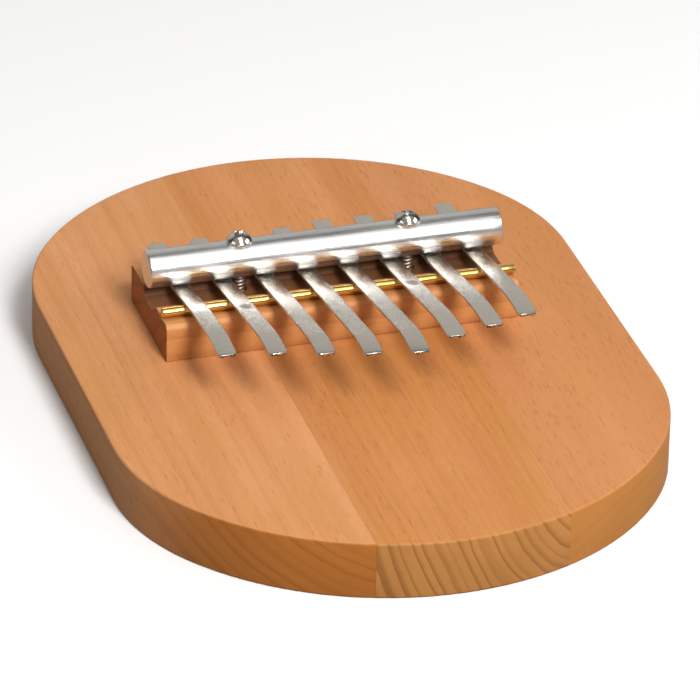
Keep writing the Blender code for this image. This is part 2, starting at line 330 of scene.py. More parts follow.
def make_floor():
    mesh = bpy.data.meshes.new("floor")
    corners = [(-1, -1), (1, -1), (1, 1), (-1, 1)]
    points = [(x * FLOOR_HALF, y * FLOOR_HALF, -FLOOR_DROP) for x, y in corners]
    mesh.from_pydata(points, [], [(0, 1, 2, 3)])
    floor = bpy.data.objects.new("floor", mesh)
    bpy.context.scene.collection.objects.link(floor)
    paper, tree, shader = new_material("paper_floor")
    place = add(tree, "TexCoord").outputs["Object"]
    mottle = noise(tree, place, (3, 3, 3), 3)
    seen = mixed(tree, mottle, srgb(250, 250, 251), srgb(253, 253, 253))
    cast = add(tree, "LightPath").outputs["Is Camera Ray"]
    feed(tree, mixed(tree, cast, srgb(150, 146, 142), seen), shader.inputs["Base Color"])
    shader.inputs["Roughness"].default_value = 0.9
    mesh.materials.append(paper)
    return floor


floor = make_floor()
print("floor", [round(side, 2) for side in floor.dimensions])

# %% [markdown]
# ## Wood that goes all the way through
#
# Beech is one material seen in three ways. Along a plank it shows long soft bands, fine fibres and short
# dark dashes, which are its rays cut across. On a sawn end it shows the growth rings as slanting lines.
# A picture on each face would not join up at the edges, so the figure here is solid: rings are drawn as
# rounds about the heart of the tree, which lies outside the plank, and every face cuts through them.
#
# The board and the block are both beech, so the figure is one node group. It takes a place in millimetres
# with the grain along its Y axis, the heart's place, the ring spacing, the amount of dashes and a seed. It
# puts out masks, and each material turns those into its own colours.

# %% Build the beech figure


def new_group(name, inputs, outputs):
    """An empty node group with named sockets. A socket is (name, type, default)."""
    group = bpy.data.node_groups.new(name, "ShaderNodeTree")
    for label, kind, value in inputs:
        socket = group.interface.new_socket(label, in_out="INPUT", socket_type="NodeSocket" + kind)
        if value is not None:
            socket.default_value = value
    for label, kind in outputs:
        group.interface.new_socket(label, in_out="OUTPUT", socket_type="NodeSocket" + kind)
    return group, group.nodes.new("NodeGroupInput"), group.nodes.new("NodeGroupOutput")


def output_names(group):
    return [item.name for item in group.interface.items_tree if item.in_out == "OUTPUT"]


def make_beech_figure():
    """Masks of a solid piece of beech, from a place in millimetres with the grain along Y."""
    group, given, result = new_group(
        "beech_figure",
        [
            ("Place", "Vector", None),
            ("Heart X", "Float", 40.0),
            ("Heart Z", "Float", 30.0),
            ("Ring Spacing", "Float", 2.7),
            ("Dashes", "Float", 0.5),
            ("Seed", "Float", 0.0),
        ],
        [
            ("Rings", "Float"),
            ("Bands", "Float"),
            ("Clouds", "Float"),
            ("Dashes", "Float"),
            ("Fibre", "Float"),
            ("Streaks", "Float"),
        ],
    )
    place = given.outputs["Place"]
    seed = add(group, "CombineXYZ", X=given.outputs["Seed"], Y=given.outputs["Seed"])
    own_place = vector_maths(group, "ADD", place, seed.outputs[0])[0]

    # Rings: the distance from the heart, with a slow wander and a fine ripple, counted in years.
    axes = add(group, "SeparateXYZ", Vector=place)
    wander = noise(group, own_place, (0.035, 0.006, 0.035), 3)
    ripple = noise(group, own_place, (0.5, 0.05, 0.5), 2)
    across = minus(group, axes.outputs["X"], given.outputs["Heart X"])
    upright = minus(group, axes.outputs["Z"], given.outputs["Heart Z"])
    flat = add(group, "CombineXYZ", X=across, Y=upright)
    from_heart = add(group, "VectorMath", {"operation": "LENGTH"})
    feed(group, flat.outputs[0], from_heart.inputs[0])
    distance = plus(group, from_heart.outputs["Value"], times(group, wander, 4.0))
    distance = plus(group, distance, times(group, ripple, 0.35))
    years = maths(group, "DIVIDE", distance, given.outputs["Ring Spacing"])
    uneven = add(group, "TexNoise", {"noise_dimensions": "1D"}, W=years, Scale=0.47, Detail=1.0)
    years = plus(group, years, times(group, uneven.outputs["Fac"], 1.5))
    # In each year the wood darkens slowly, and the next year's pale wood starts at a sharp line.
    season = maths(group, "FRACT", years)
    late_wood = maths(group, "POWER", ranged(group, season, 0.30, 0.94), 1.8)
    new_year = ranged(group, season, 0.94, 1.0, 1.0, 0.0)
    ring = times(group, late_wood, new_year)
    strong_years = add(group, "TexNoise", {"noise_dimensions": "1D"}, W=years, Scale=0.8, Detail=0.0)
    strength = ranged(group, strong_years.outputs["Fac"], 0.3, 0.65, 0.45, 1.0)
    feed(group, times(group, ring, strength), result.inputs["Rings"])

    feed(group, noise(group, own_place, (0.085, 0.005, 0.085), 3, 0.6), result.inputs["Bands"])
    feed(group, noise(group, own_place, (0.045, 0.016, 0.045), 3, 0.55), result.inputs["Clouds"])

    # Dashes: long thin cells, of which a random choice is kept, more in some patches than in others.
    cells = add(group, "TexVoronoi", Vector=stretched(group, own_place, (1.35, 0.17, 0.40)), Scale=1.0)
    dash = ranged(group, cells.outputs["Distance"], 0.04, 0.42, 1.0, 0.0)
    pick = add(group, "SeparateXYZ", Vector=cells.outputs["Color"])
    patches = noise(group, own_place, (0.06, 0.02, 0.06), 2)
    chance = plus(group, given.outputs["Dashes"], minus(group, patches, 0.5))
    kept = ranged(group, minus(group, chance, pick.outputs["X"]), -0.02, 0.25)
    feed(group, times(group, dash, kept), result.inputs["Dashes"])

    feed(group, noise(group, own_place, (5.0, 0.22, 5.0), 3, 0.6), result.inputs["Fibre"])
    streak = noise(group, own_place, (1.3, 0.035, 1.3), 3, 0.65)
    feed(group, ranged(group, streak, 0.35, 0.68), result.inputs["Streaks"])
    return group


beech_figure = make_beech_figure()
print("beech_figure gives", output_names(beech_figure))

# %% [markdown]
# ## Three tones of beech
#
# A wood material starts with the group above. It mixes two tones along the soft bands, lays the fibres and
# the streaks over them, darkens the dashes, and then does the same for the sawn ends, where the rings show
# and oil soaks in deeper. A face is an end where its normal points along the grain, so the grain axis
# decides. The same masks lift or sink the surface a few hundredths of a millimetre through a Bump node.
#
# The hollow of the block, under the bar, gets painted shade: its wood is darkened there, where the bar and
# the tines keep the light out, though not on the block's sawn ends.

# %% Make the wood materials
WOOD_RELIEF = 0.05 * MM
# Painted shade: the colour that the hollow under the bar is darkened towards.
HOLLOW_SHADE = srgb(64, 28, 13)
# Millimetres over which the painted shade gathers behind the hollow's front, ends at its rear and fades
# towards its top.
SHADE_GATHERS = 5.5
SHADE_ENDS = 1.0
SHADE_FADES = 0.8


def use_group(tree, group, **inputs):
    node = tree.nodes.new("ShaderNodeGroup")
    node.node_tree = group
    for name, value in inputs.items():
        feed(tree, value, node.inputs[name.replace("_", " ")])
    return node.outputs


def laid_along(tree, place, axis):
    """The place with its coordinates changed over, so that an effect along Y runs along axis instead."""
    if axis == "Y":
        return place
    parts = add(tree, "SeparateXYZ", Vector=place).outputs
    if axis == "X":
        return add(tree, "CombineXYZ", X=parts["Y"], Y=parts["X"], Z=parts["Z"]).outputs[0]
    return add(tree, "CombineXYZ", X=parts["X"], Y=parts["Z"], Z=parts["Y"]).outputs[0]


def painted_shade_mask(tree, own_place, hollow):
    """Where painted shade lies in a hollow, given as its front, its rear and its top in millimetres."""
    front, rear, top = hollow
    spot = add(tree, "SeparateXYZ", Vector=own_place).outputs
    shade_amount = ranged(tree, spot["Y"], front, front + SHADE_GATHERS, 0.05, 1.0)
    shade_amount = times(tree, shade_amount, ranged(tree, spot["Y"], rear - SHADE_ENDS, rear, 1.0, 0.0))
    return times(tree, shade_amount, ranged(tree, spot["Z"], top - SHADE_FADES, top, 0.85, 0.0))


def wood(
    name,
    tones,
    end_tones,
    heart,
    spacing,
    dashes,
    seed,
    grain="Y",
    ring_strength=0.8,
    side_rings=0.12,
    shaded_hollow=None,
):
    """A beech material.

    tones are light, dark, golden and dash colours, and end_tones are light and ring colours. The last
    argument is a hollow's (front, rear, top) in millimetres: painted shade darkens what lies lower between
    front and rear.
    """
    material, tree, shader = new_material(name)
    source = add(tree, "TexCoord")
    own_place = in_millimetres(tree, source)
    place = laid_along(tree, own_place, grain)
    facing = add(tree, "SeparateXYZ", Vector=source.outputs["Normal"])
    figure = use_group(
        tree,
        beech_figure,
        Place=place,
        Heart_X=heart[0],
        Heart_Z=heart[1],
        Ring_Spacing=spacing,
        Dashes=dashes,
        Seed=seed,
    )
    light, dark, gold, dash_tone = tones
    end_light, end_ring = end_tones

    face = mixed(tree, ranged(tree, figure["Bands"], 0.32, 0.68), dark, light)
    face = mixed(tree, ranged(tree, figure["Clouds"], 0.38, 0.66, 0.0, 0.7), face, gold)
    face = mixed(tree, times(tree, figure["Streaks"], 0.38), face, light)
    ring_amount = times(tree, figure["Rings"], side_rings)
    face = mixed(tree, ring_amount, face, dash_tone)
    fibre_amount = ranged(tree, figure["Fibre"], 0.35, 0.75, 0.0, 0.16)
    face = mixed(tree, fibre_amount, face, dash_tone)
    face = mixed(tree, times(tree, figure["Dashes"], 0.42), face, dash_tone)

    ring_line = times(tree, figure["Rings"], ring_strength)
    end = mixed(tree, ring_line, end_light, end_ring)
    end = mixed(tree, ranged(tree, figure["Bands"], 0.3, 0.7, 0.22, 0.0), end, end_ring)

    end_share = ranged(tree, maths(tree, "ABSOLUTE", facing.outputs[grain]), 0.25, 0.7)
    colour = mixed(tree, end_share, face, end)
    # Painted shade in the hollow under the bar, where the bar and the tines keep the light out.
    if shaded_hollow:
        shade_amount = painted_shade_mask(tree, own_place, shaded_hollow)
        shade_amount = times(tree, shade_amount, ranged(tree, figure["Clouds"], 0.3, 0.7, 0.85, 1.0))
        shade_amount = times(tree, shade_amount, minus(tree, 1.0, end_share))
        colour = mixed(tree, shade_amount, colour, HOLLOW_SHADE)
    feed(tree, colour, shader.inputs["Base Color"])

    rough = ranged(tree, figure["Fibre"], 0.2, 0.8, 0.44, 0.56)
    rough = plus(tree, rough, times(tree, end_share, 0.10))
    feed(tree, rough, shader.inputs["Roughness"])
    shader.inputs["Specular IOR Level"].default_value = 0.35

    height = times(tree, figure["Fibre"], 0.35)
    height = minus(tree, height, times(tree, figure["Dashes"], 0.6))
    height = minus(tree, height, times(tree, ring_line, 0.3))
    raise_surface(tree, shader, height, 0.5, WOOD_RELIEF)
    return material


stave_woods = {
    "board_stave_left": wood(
        "oiled_beech_left",
        (srgb(219, 154, 103), srgb(204, 137, 84), srgb(204, 140, 79), srgb(150, 88, 42)),
        (srgb(180, 109, 42), srgb(150, 84, 28)),
        heart=(-2.0, 60.0),
        spacing=3.2,
        dashes=0.30,
        seed=11.0,
        ring_strength=0.55,
    ),
    "board_stave_middle": wood(
        "oiled_beech_middle",
        (srgb(213, 145, 90), srgb(196, 127, 70), srgb(196, 129, 62), srgb(146, 86, 38)),
        (srgb(188, 129, 67), srgb(146, 92, 42)),
        heart=(45.0, 28.0),
        spacing=2.7,
        dashes=0.38,
        seed=47.0,
        ring_strength=0.85,
    ),
    "board_stave_right": wood(
        "oiled_beech_right",
        (srgb(211, 143, 91), srgb(200, 131, 78), srgb(201, 134, 73), srgb(142, 82, 38)),
        (srgb(190, 126, 60), srgb(172, 109, 50)),
        heart=(52.0, -45.0),
        spacing=4.2,
        dashes=0.62,
        seed=83.0,
        ring_strength=0.35,
    ),
}
block_wood = wood(
    "block_beech",
    (srgb(222, 155, 96), srgb(204, 134, 78), srgb(213, 148, 87), srgb(138, 78, 37)),
    (srgb(170, 98, 50), srgb(124, 64, 29)),
    heart=(70.0, 90.0),
    spacing=4.5,
    dashes=0.30,
    seed=140.0,
    grain="X",
    ring_strength=0.5,
    side_rings=0.25,
    # Painted shade for the hollow under the bar.
    shaded_hollow=(rod_middle.y / MM + 1.6, bar_middle.y / MM + 5.0, block_high.z / MM - 0.15),
)
print("woods:", [material.name for material in (*stave_woods.values(), block_wood)])

# %% [markdown]
# ## One wear for every metal
#
# Drawn rod and rolled strip keep fine lines along their length. Every metal here has them, so they are
# one group. It puts out the lines, a slow cloud of handling marks that dulls some places, and a few
# separate scratches. Each metal chooses how much of each it takes.

# %% Build the metal wear


def make_drawn_lines():
    """Masks of drawn or rolled metal, from a place in millimetres with the lines along Y."""
    group, given, result = new_group(
        "drawn_lines",
        [("Place", "Vector", None), ("Fineness", "Float", 1.0), ("Seed", "Float", 0.0)],
        [("Lines", "Float"), ("Clouds", "Float"), ("Scratches", "Float")],
    )
    number = given.outputs["Seed"]
    seed = add(group, "CombineXYZ", X=number, Y=number, Z=number)
    moved = vector_maths(group, "ADD", given.outputs["Place"], seed.outputs[0])[0]
    scaled = add(group, "VectorMath", {"operation": "SCALE"}, Scale=given.outputs["Fineness"])
    feed(group, moved, scaled.inputs[0])
    place = scaled.outputs[0]
    lines = noise(group, place, (9.0, 0.12, 9.0), 3, 0.7)
    feed(group, ranged(group, lines, 0.25, 0.75), result.inputs["Lines"])
    feed(group, noise(group, place, (0.22, 0.10, 0.22), 4, 0.6), result.inputs["Clouds"])
    cells = add(group, "TexVoronoi", Vector=stretched(group, place, (1.2, 0.10, 1.2)), Scale=1.0)
    thin = ranged(group, cells.outputs["Distance"], 0.02, 0.07, 1.0, 0.0)
    pick = add(group, "SeparateXYZ", Vector=cells.outputs["Color"])
    chosen = ranged(group, pick.outputs["X"], 0.62, 0.70)
    feed(group, times(group, thin, chosen), result.inputs["Scratches"])
    return group


drawn_lines = make_drawn_lines()
print("drawn_lines gives", output_names(drawn_lines))

# %% [markdown]
# ## Five metals
#
# The bar is drawn aluminium, left bare: pale, with lines wide enough to see. The rod is brass, and the
# tines are rolled spring steel, smooth and slightly warm. The screws are nickel plated. Their thread is a
# metal of its own, a dull brown that is a painted reflection of the wood around it.
#
# A metal has no colour under its shine, so one function can make them all. It is given two close tones,
# the least and the greatest roughness, the height of the lines and the way they run. The steel also gets
# two scuffs, where a tool has slipped over a tine, and dark spots on its sheared ends, painted in for the
# dark reflections of their rough torn faces.

# %% Make the metals
# A scuff is (tine, millimetres in front of the rod). All have one size, and are a little longer than wide.
SCUFFS = ((2, 8.3), (6, 6.6))
SCUFF_SIZE = 3.1
SCUFF_SQUEEZE = 0.75
SCUFF_RAGGED = 3.4
SCUFFED_STEEL = (0.24, 0.21, 0.17, 1)
# Painted reflection: the dark colour of the spots on the tines' torn ends.
DARK_END_REFLECTION = (0.09, 0.075, 0.06, 1)


def scuff_mask(tree, place):
    """Where the tines are scuffed."""
    ragged = noise(tree, place, (1.5, 0.9, 1.5), 3, 0.7)
    flat = stretched(tree, place, (1.0, SCUFF_SQUEEZE, 0.0))
    mask = 0.0
    for number, ahead in SCUFFS:
        low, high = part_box(f"tine_{number}_root")
        centre = ((low.x + high.x) / 2 / MM, (rod_middle.y / MM - ahead) * SCUFF_SQUEEZE, 0.0)
        away = vector_maths(tree, "DISTANCE", flat, centre)["Value"]
        reach = plus(tree, away, times(tree, ragged, SCUFF_RAGGED))
        scuff = ranged(tree, reach, SCUFF_SIZE - 0.5, SCUFF_SIZE + 0.4, 1.0, 0.0)
        mask = maths(tree, "MAXIMUM", scuff, mask)
    return mask


def painted_end_reflections(tree, place):
    """Dark spots on the ends of a strip, painted in for the dark reflections of its rough torn face."""
    facing = add(tree, "SeparateXYZ", Vector=add(tree, "TexCoord").outputs["Normal"])
    end_share = ranged(tree, maths(tree, "ABSOLUTE", facing.outputs["Y"]), 0.55, 0.85)
    spots = ranged(tree, noise(tree, place, (1.3, 1.3, 2.2), 2), 0.44, 0.54, 0.25, 0.9)
    return times(tree, end_share, spots)


def metal(name, tones, roughness, bump_height, seed, along="Y", fineness=1.0, strips=False):
    """A worn metal.

    tones are its light and dark colour, and roughness its least and greatest value. strips adds the
    scuffs and the painted dark reflections on the torn ends of the tines.
    """
    light, dark = tones
    smooth, rough = roughness
    material, tree, shader = new_material(name)
    place = laid_along(tree, in_millimetres(tree, add(tree, "TexCoord")), along)
    wear = use_group(tree, drawn_lines, Place=place, Fineness=fineness, Seed=seed)
    tone = times(tree, wear["Clouds"], 0.7)
    tone = plus(tree, tone, times(tree, wear["Lines"], 0.3))
    colour = mixed(tree, ranged(tree, tone, 0.3, 0.7), dark, light)
    shader.inputs["Metallic"].default_value = 1.0
    dull = times(tree, wear["Clouds"], 0.6)
    dull = plus(tree, dull, times(tree, wear["Lines"], 0.4))
    dull = ranged(tree, dull, 0.3, 0.75, smooth, rough)
    dull = plus(tree, dull, times(tree, wear["Scratches"], 0.12))
    if strips:
        scuffs = scuff_mask(tree, place)
        dull = plus(tree, dull, times(tree, scuffs, 0.22))
        colour = mixed(tree, times(tree, scuffs, 0.55), colour, SCUFFED_STEEL)
        # Painted reflection: dark spots on the torn ends of the strips.
        colour = mixed(tree, painted_end_reflections(tree, place), colour, DARK_END_REFLECTION)
    feed(tree, colour, shader.inputs["Base Color"])
    feed(tree, dull, shader.inputs["Roughness"])
    height = minus(tree, wear["Lines"], wear["Scratches"])
    raise_surface(tree, shader, height, 0.4, bump_height)
    return material


aluminium = metal(
    "drawn_aluminium",
    tones=((0.90, 0.89, 0.88, 1), (0.72, 0.72, 0.73, 1)),
    roughness=(0.26, 0.37),
    bump_height=0.004 * MM,
    seed=3.0,
    along="X",
    fineness=0.4,
)
brass = metal(
    "drawn_brass",
    tones=((0.93, 0.68, 0.24, 1), (0.74, 0.46, 0.11, 1)),
    roughness=(0.14, 0.26),
    bump_height=0.0015 * MM,
    seed=17.0,
    along="X",
)
nickel = metal(
    "plated_nickel",
    tones=((0.78, 0.75, 0.71, 1), (0.66, 0.62, 0.57, 1)),
    roughness=(0.08, 0.15),
    bump_height=0.001 * MM,
    seed=29.0,
    along="Z",
)
# Painted reflection: the thread's dull brown stands in for the wood that the shank reflects.
reflection_thread = metal(
    "painted_reflection_thread",
    tones=((0.42, 0.33, 0.27, 1), (0.24, 0.17, 0.13, 1)),
    roughness=(0.38, 0.55),
    bump_height=0.002 * MM,
    seed=35.0,
    along="Z",
)
spring_steel = metal(
    "spring_steel",
    tones=((0.75, 0.71, 0.65, 1), (0.71, 0.67, 0.61, 1)),
    roughness=(0.25, 0.29),
    bump_height=0.00004 * MM,
    seed=41.0,
    strips=True,
)
metals = (aluminium, brass, nickel, reflection_thread, spring_steel)
print("metals:", [material.name for material in metals])

# %% [markdown]
# ## Small tools for meshes
#
# Most pieces here are made by lofting: a closed outline is repeated as a stack of rings, and neighbouring
# rings are joined by quads. A rounded edge is the same outline drawn a little smaller a few times, on a
# quarter circle. One more ring lies a little way onto the flat, and keeps the flat's shading flat. To
# shrink an outline, each of its edges moves inwards by its own distance and the corners are found again
# where the moved edges cross, so a straight edge can be given a smaller rounding.

# %% Mesh helpers
SMOOTH_ANGLE = math.radians(32)
SAME_POINT = 0.01 * MM
ROUND_STEPS = 4
HELD_FLAT = 1.4
NEARLY_STRAIGHT = 1e-6


def loft_rings(rings):
    """A closed mesh through rings of equally many points, with its two ends filled."""
    mesh = bmesh.new()
    rows = [[mesh.verts.new(point) for point in ring] for ring in rings]
    count = len(rows[0])
    for low, high in zip(rows, rows[1:]):
        for i in range(count):
            j = (i + 1) % count
            mesh.faces.new((low[i], low[j], high[j], high[i]))
    mesh.faces.new(rows[0][::-1])
    mesh.faces.new(rows[-1])
    bmesh.ops.recalc_face_normals(mesh, faces=mesh.faces)
    return mesh


def circle(first, second, radius, count):
    """Evenly spaced points on a circle, as pairs of coordinates."""
    angles = [2 * math.pi * i / count for i in range(count)]
    return [(first + radius * math.cos(angle), second + radius * math.sin(angle)) for angle in angles]


def object_from(mesh, name):
    """An object in the scene, with a bmesh as its shape."""
    data = bpy.data.meshes.new(name)
    mesh.to_mesh(data)
    mesh.free()
    made = bpy.data.objects.new(name, data)
    bpy.context.scene.collection.objects.link(made)
    return made


def shaded(piece):
    """piece shaded smooth, with its real corners left sharp."""
    piece.data.shade_smooth()
    piece.data.set_sharp_from_angle(angle=SMOOTH_ANGLE)
    return piece


def piece_from(mesh, name, material):
    piece = object_from(mesh, name)
    piece.data.materials.append(material)
    return shaded(piece)


def shrunk(outline, insets):
    """A closed outline, counter-clockwise, whose edge i has moved inwards by insets[i]."""
    count = len(outline)
    lines = []
    for i in range(count):
        start, end = outline[i], outline[(i + 1) % count]
        along = (end - start).normalized()
        inward = Vector((-along.y, along.x))
        lines.append((start + inward * insets[i], along))
    points = []
    for i in range(count):
        (p, d), (q, e) = lines[i - 1], lines[i]
        cross = d.x * e.y - d.y * e.x
        if abs(cross) < NEARLY_STRAIGHT:
            points.append(q.copy())
            continue
        gap = q - p
        points.append(p + d * ((gap.x * e.y - gap.y * e.x) / cross))
    return points


def quarter(radius):
    """(inset, rise) pairs of a rounded edge, from its side to its top and a little way onto the flat."""
    pairs = []
    for i in range(ROUND_STEPS + 1):
        angle = math.pi / 2 * i / ROUND_STEPS
        pairs.append((radius * (1 - math.cos(angle)), radius * math.sin(angle)))
    pairs.append((radius * HELD_FLAT, radius))
    return pairs


def rounded_over(outline, rounds, low, high, depth):
    """(outline, place) pairs from low to high, smaller towards both ends. Edge i is rounded by rounds[i]."""
    layers = []
    for inset, rise in quarter(1.0)[::-1]:
        layer = shrunk(outline, [radius * inset for radius in rounds])
        layers.append((layer, low + depth * (1 - rise)))
    for layer, place in layers[::-1]:
        layers.append((layer, high - (place - low)))
    return layers


def carved(piece, cutter):
    """piece with cutter's shape taken out of it, for good."""
    modifier = piece.modifiers.new("cut", "BOOLEAN")
    modifier.object = cutter
    modifier.operation = "DIFFERENCE"
    bpy.context.view_layer.update()
    graph = bpy.context.evaluated_depsgraph_get()
    result = bpy.data.meshes.new_from_object(piece.evaluated_get(graph))
    old = piece.data
    piece.modifiers.clear()
    piece.data = result
    result.name = old.name
    bpy.data.meshes.remove(old)
    bpy.data.meshes.remove(cutter.data)
    return shaded(piece)


def curve_point(here, leave, there, arrive, t):
    """A point on the smooth curve from here to there, which leaves and arrives in the two directions."""
    return (
        here * (2 * t**3 - 3 * t**2 + 1)
        + leave * (t**3 - 2 * t**2 + t)
        + there * (3 * t**2 - 2 * t**3)
        + arrive * (t**3 - t**2)
    )


def describe(piece):
    sides = [round(side / MM, 1) for side in piece.dimensions]
    print(piece.name, sides, "mm,", len(piece.data.polygons), "faces")


print("mesh helpers ready")

# %% [markdown]
# ## The soundboard
#
# The board is three beech staves glued edge to edge and cut to a round-ended shape. Its outline is read
# back from the mechanical staves, whose upright wall carries it, and the wall's points are put in order
# by their angle around the middle, which is enough because each stave bulges outwards everywhere.
#
# A real board is sanded after gluing. Its outer edge is rounded by half a millimetre, while the glued
# joints are flush, with only a hair line where the two surfaces meet. So each edge of the outline gets
# its own rounding: large where the stave is free, and tiny where it meets its neighbour.

# %% Build the three staves
EDGE_ROUND = 0.55 * MM
JOINT_ROUND = 0.012 * MM
INSIDE_BOARD = 1 * MM


def wall_outline(node):
    """The outline of a CAD plate, from the points at the top of its upright wall, in order."""
    low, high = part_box(node)
    middle = (low + high) / 2
    points = [vertex.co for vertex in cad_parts[node].data.vertices]
    wall_top = max(point.z for point in points if point.z < high.z - SAME_POINT)
    wall = {}
    for point in points:
        if abs(point.z - wall_top) < SAME_POINT:
            wall[round(point.x / SAME_POINT), round(point.y / SAME_POINT)] = point.xy
    return sorted(wall.values(), key=lambda p: math.atan2(p.y - middle.y, p.x - middle.x))


def meet_neighbours(outline, node):
    """The outline with its glued sides moved to the middle of the glue line."""
    index = STAVES.index(node)
    low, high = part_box(node)
    moved = []
    for point in outline:
        point = point.copy()
        if index > 0 and abs(point.x - low.x) < SAME_POINT:
            point.x = (low.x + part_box(STAVES[index - 1])[1].x) / 2
        if index < len(STAVES) - 1 and abs(point.x - high.x) < SAME_POINT:
            point.x = (high.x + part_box(STAVES[index + 1])[0].x) / 2
        moved.append(point)
    return moved


def is_joint(start, end):
    """Whether an outline's edge lies along a glued joint: straight back and well inside the board."""
    side = max(abs(start.x), abs(end.x))
    return abs(start.x - end.x) < SAME_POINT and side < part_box(STAVES[2])[1].x - INSIDE_BOARD


def stave(node):
    low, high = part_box(node)
    outline = meet_neighbours(wall_outline(node), node)
    edges = zip(outline, outline[1:] + outline[:1])
    rounds = [JOINT_ROUND if is_joint(start, end) else EDGE_ROUND for start, end in edges]
    layers = rounded_over(outline, rounds, low.z, high.z, EDGE_ROUND)
    rings = [[(*point, z) for point in layer] for layer, z in layers]
    piece = piece_from(loft_rings(rings), node.replace("board_", "sound"), stave_woods[node])
    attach(piece, "board")
    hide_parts(node)
    return piece


for node in STAVES:
    describe(stave(node))

# %% [markdown]
# ## The bridge block
#
# The block is one strip of beech, sawn along its grain and glued across the board. Its section does the
# work: a shallow groove at the front cradles the brass rod, a hollow behind it leaves room under the bar,
# and the land at the back carries the tails of the tines.
#
# The section is read from the end of the mechanical block. There it is a chain of straight pieces, so the
# hollow is first smoothed with a curve through its points, while real corners are kept and given a
# small round. The land is lowered by less than a tenth of a millimetre, which leaves the tails room to
# slide when a tine is tuned. Then the section is lofted along the block, with both ends rounded over.

# %% Build the bridge block
CORNER_TURN = math.radians(38)
CURVE_STEPS = 6
CORNER_ROUND = 0.42 * MM
CORNER_STEPS = 3
LONGEST_CUT = 0.45
END_ROUND = 0.26 * MM
GLUE_LINE = 0.05 * MM
UNDERSIDE_BAND = 1.2 * CORNER_ROUND
SCREW_CLEARANCE = 2.1 * MM
DRILL_AROUND = 48
DRILL_PAST = 5 * MM
LAND_DEPTH = 0.8 * MM
TAIL_CLEARANCE = 0.08 * MM
SCREW_NODES = {"left": "clamp_screw_left", "right": "clamp_screw_right"}


def end_section(node):
    """The outline of a CAD part's end that faces -X, as (y, z) points in order."""
    mesh = bmesh.new()
    mesh.from_mesh(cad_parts[node].data)
    bmesh.ops.remove_doubles(mesh, verts=mesh.verts, dist=SAME_POINT)
    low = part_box(node)[0]
    cap = {face for face in mesh.faces if abs(face.calc_center_median().x - low.x) < SAME_POINT}
    following = {}
    for face in cap:
        for loop in face.loops:
            if any(other not in cap for other in loop.edge.link_faces):
                following[loop.vert] = loop.link_loop_next.vert
    start = max(following, key=lambda vertex: (vertex.co.y, -vertex.co.z))
    points = []
    vertex = start
    while not points or vertex != start:
        points.append(Vector((vertex.co.y, vertex.co.z)))
        vertex = following[vertex]
    mesh.free()
    area = sum(a.x * b.y - a.y * b.x for a, b in zip(points, points[1:] + points[:1]))
    return points if area > 0 else points[::-1]


def turn_at(before, here, after):
    return abs((here - before).angle_signed(after - here))


def curved_section(points):
    """The section with its gentle bends drawn as curves and its corners kept."""
    count = len(points)
    turns = [turn_at(points[i - 1], points[i], points[(i + 1) % count]) for i in range(count)]
    corner = [turn > CORNER_TURN for turn in turns]
    result = []
    for i in range(count):
        here, there = points[i], points[(i + 1) % count]
        result.append(here.copy())
        if corner[i] and corner[(i + 1) % count]:
            continue
        before = here if corner[i] else points[i - 1]
        after = there if corner[(i + 1) % count] else points[(i + 2) % count]
        reach = (there - here).length
        leave = (there - before).normalized() * reach
        arrive = (after - here).normalized() * reach
        for step in range(1, CURVE_STEPS):
            result.append(curve_point(here, leave, there, arrive, step / CURVE_STEPS))
    return result


def softened(points):
    """The section with each sharp corner replaced by a short round."""
    count = len(points)
    result = []
    for i in range(count):
        before, here, after = points[i - 1], points[i], points[(i + 1) % count]
        if turn_at(before, here, after) < CORNER_TURN:
            result.append(here)
            continue
        shorter = min((before - here).length, (after - here).length)
        cut = min(CORNER_ROUND, shorter * LONGEST_CUT)
        start = here + (before - here).normalized() * cut
        end = here + (after - here).normalized() * cut
        for step in range(CORNER_STEPS + 1):
            t = step / CORNER_STEPS
            result.append(start * (1 - t) ** 2 + here * (2 * t * (1 - t)) + end * t**2)
    return result


def drill_for_screws(piece):
    """Takes an upright round hole out of the piece for each screw."""
    for node in SCREW_NODES.values():
        low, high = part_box(node)
        middle = (low + high) / 2
        hole = circle(middle.x, middle.y, SCREW_CLEARANCE, DRILL_AROUND)
        rings = [[(*point, z) for point in hole] for z in (0, high.z + DRILL_PAST)]
        carved(piece, object_from(loft_rings(rings), "drill"))


def bridge_block():
    section = softened(curved_section(end_section("bridge_block")))
    drop = GLUE_LINE - (block_low.z - board_top)
    low_edge = min(point.y for point in section)
    for point in section:
        if point.y - low_edge < UNDERSIDE_BAND:
            point.y += drop
        elif point.x > bar_middle.y and point.y > block_high.z - LAND_DEPTH:
            point.y -= TAIL_CLEARANCE
    layers = rounded_over(section, [END_ROUND] * len(section), block_low.x, block_high.x, END_ROUND)
    rings = [[(x, *point) for point in layer] for layer, x in layers]
    piece = piece_from(loft_rings(rings), "bridge_strip", block_wood)
    drill_for_screws(piece)
    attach(piece, "board")
    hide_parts("bridge_block")
    return piece


describe(bridge_block())

# %% [markdown]
# ## The brass rod and the clamp bar
#
# Both are lengths of round stock, cut off and with their ends eased on a belt. A round part is easiest as
# a turned shape: a half profile spun about its axis. The profile has the flat end, the eased
# corner and the long side, which is split into short lengths so that it can waver by a few thousandths of
# a millimetre, as drawn metal does. That is what breaks up its long reflections. The bar is then drilled
# right through for the two screws.

# %% Turn the rod and the bar
STOCK_LENGTHS = 46
STOCK_AROUND = 72
# The waver is two waves added: (radians for each millimetre, radians at the middle).
WAVES = ((0.41, 1.3), (0.173, 0.4))


